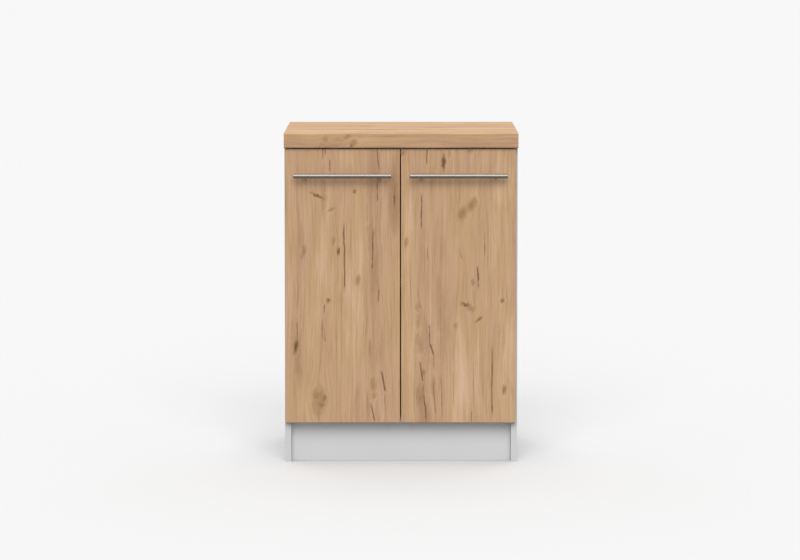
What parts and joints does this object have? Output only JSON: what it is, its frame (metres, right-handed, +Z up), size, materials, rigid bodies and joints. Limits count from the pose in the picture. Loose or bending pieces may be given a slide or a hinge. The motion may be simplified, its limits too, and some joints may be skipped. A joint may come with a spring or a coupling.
{
  "type": "kitchen base cabinet",
  "caption": "Floor-standing kitchen base cabinet with hinged doors, horizontal bar handles, concealed hinges, an inner shelf, a recessed plinth and a wood-decor worktop.",
  "frame": {"origin": "on the floor, at the middle of the part's bounding box in X and Y", "axes": "+Z up, the doors face -Y, +X to the right seen from the front"},
  "size_m": [0.602, 0.622, 0.852],
  "materials": {
    "carcass_board": "light grey melamine faced chipboard, matt",
    "carcass_edge": "light grey edging, matt",
    "back_board": "thin fibreboard, white lacquered",
    "dowel_wood": "fluted beech",
    "plated_screws": "zinc plated",
    "plated_steel": "nickel plated",
    "spring_steel": "hardened strip, oiled",
    "worktop_board": "chipboard, raw underneath",
    "worktop_decor": "golden oak decor laminate, fine texture",
    "door_board": "golden oak decor faced chipboard, grain upright",
    "door_edge": "golden oak decor edging",
    "handle_metal": "satin nickel",
    "bumper_rubber": "translucent soft pads"
  },
  "bodies": {
    "carcass": {"back_panel": "back_board", "back_panel_screws": "plated_screws", "bottom_edge_band": "carcass_edge", "bottom_panel": "carcass_board", "dowels": "dowel_wood", "front_rail_edge_band": "carcass_edge", "front_top_rail": "carcass_board", "hinge_adjusters": "plated_screws", "hinge_arm_screws": "plated_screws", "hinge_plate_screws": "plated_screws", "joint_screw_caps": "carcass_edge", "joint_screws": "plated_screws", "left_arm_pins": "plated_steel", "left_hinge_arms": "plated_steel", "left_hinge_plates": "plated_steel", "left_hinge_springs": "spring_steel", "left_side_edge_band": "carcass_edge", "left_side_panel": "carcass_board", "left_worktop_end_band": "worktop_decor", "plinth_board": "carcass_board", "plinth_bracket_screws": "plated_screws", "plinth_brackets": "plated_steel", "rear_top_rail": "carcass_board", "right_arm_pins": "plated_steel", "right_hinge_arms": "plated_steel", "right_hinge_plates": "plated_steel", "right_hinge_springs": "spring_steel", "right_side_edge_band": "carcass_edge", "right_side_panel": "carcass_board", "right_worktop_end_band": "worktop_decor", "shelf": "carcass_board", "shelf_edge_band": "carcass_edge", "shelf_pins": "plated_steel", "worktop_core": "worktop_board", "worktop_laminate": "worktop_decor", "worktop_screws": "plated_screws"},
    "left_inner_links": {"left_inner_links": "plated_steel"},
    "left_door": {"left_door_panel": "door_board", "left_door_edge_bands": "door_edge", "left_handle_bar": "handle_metal", "left_handle_posts": "handle_metal", "left_handle_screws": "plated_screws", "left_hinge_cups": "plated_steel", "left_cup_pins": "plated_steel", "left_cup_screws": "plated_screws", "left_door_bumpers": "bumper_rubber"},
    "left_outer_links": {"left_outer_links": "plated_steel"},
    "right_inner_links": {"right_inner_links": "plated_steel"},
    "right_door": {"right_door_panel": "door_board", "right_door_edge_bands": "door_edge", "right_handle_bar": "handle_metal", "right_handle_posts": "handle_metal", "right_handle_screws": "plated_screws", "right_hinge_cups": "plated_steel", "right_cup_pins": "plated_steel", "right_cup_screws": "plated_screws", "right_door_bumpers": "bumper_rubber"},
    "right_outer_links": {"right_outer_links": "plated_steel"}
  },
  "joints": [
    {"name": "left_inner_link_turn", "type": "hinge", "parent": "carcass", "child": "left_inner_links", "pos_m": [-0.2645, -0.26605, 0.45775], "axis": [0, 0, 1], "range_deg": [0, 18.4]},
    {"name": "left_door_swing", "type": "hinge", "parent": "left_inner_links", "child": "left_door", "pos_m": [-0.2867, -0.2694, 0.45775], "axis": [0, 0, 1], "range_deg": [-113.4, 0]},
    {"name": "left_outer_link_turn", "type": "hinge", "parent": "left_door", "child": "left_outer_links", "pos_m": [-0.28535, -0.264, 0.45775], "axis": [0, 0, 1], "range_deg": [0, 124.8]},
    {"name": "right_inner_link_turn", "type": "hinge", "parent": "carcass", "child": "right_inner_links", "pos_m": [0.2645, -0.26605, 0.45775], "axis": [0, 0, 1], "range_deg": [-18.4, 0]},
    {"name": "right_door_swing", "type": "hinge", "parent": "right_inner_links", "child": "right_door", "pos_m": [0.2867, -0.2694, 0.45775], "axis": [0, 0, 1], "range_deg": [0, 113.4]},
    {"name": "right_outer_link_turn", "type": "hinge", "parent": "right_door", "child": "right_outer_links", "pos_m": [0.28535, -0.264, 0.45775], "axis": [0, 0, 1], "range_deg": [-124.8, 0]}
  ],
  "couplings": [
    {"joint": "left_inner_link_turn", "follows": "left_door_swing", "ratio": -0.16226},
    {"joint": "left_outer_link_turn", "follows": "left_door_swing", "ratio": -1.1005},
    {"joint": "right_inner_link_turn", "follows": "right_door_swing", "ratio": -0.16226},
    {"joint": "right_outer_link_turn", "follows": "right_door_swing", "ratio": -1.1005}
  ]
}
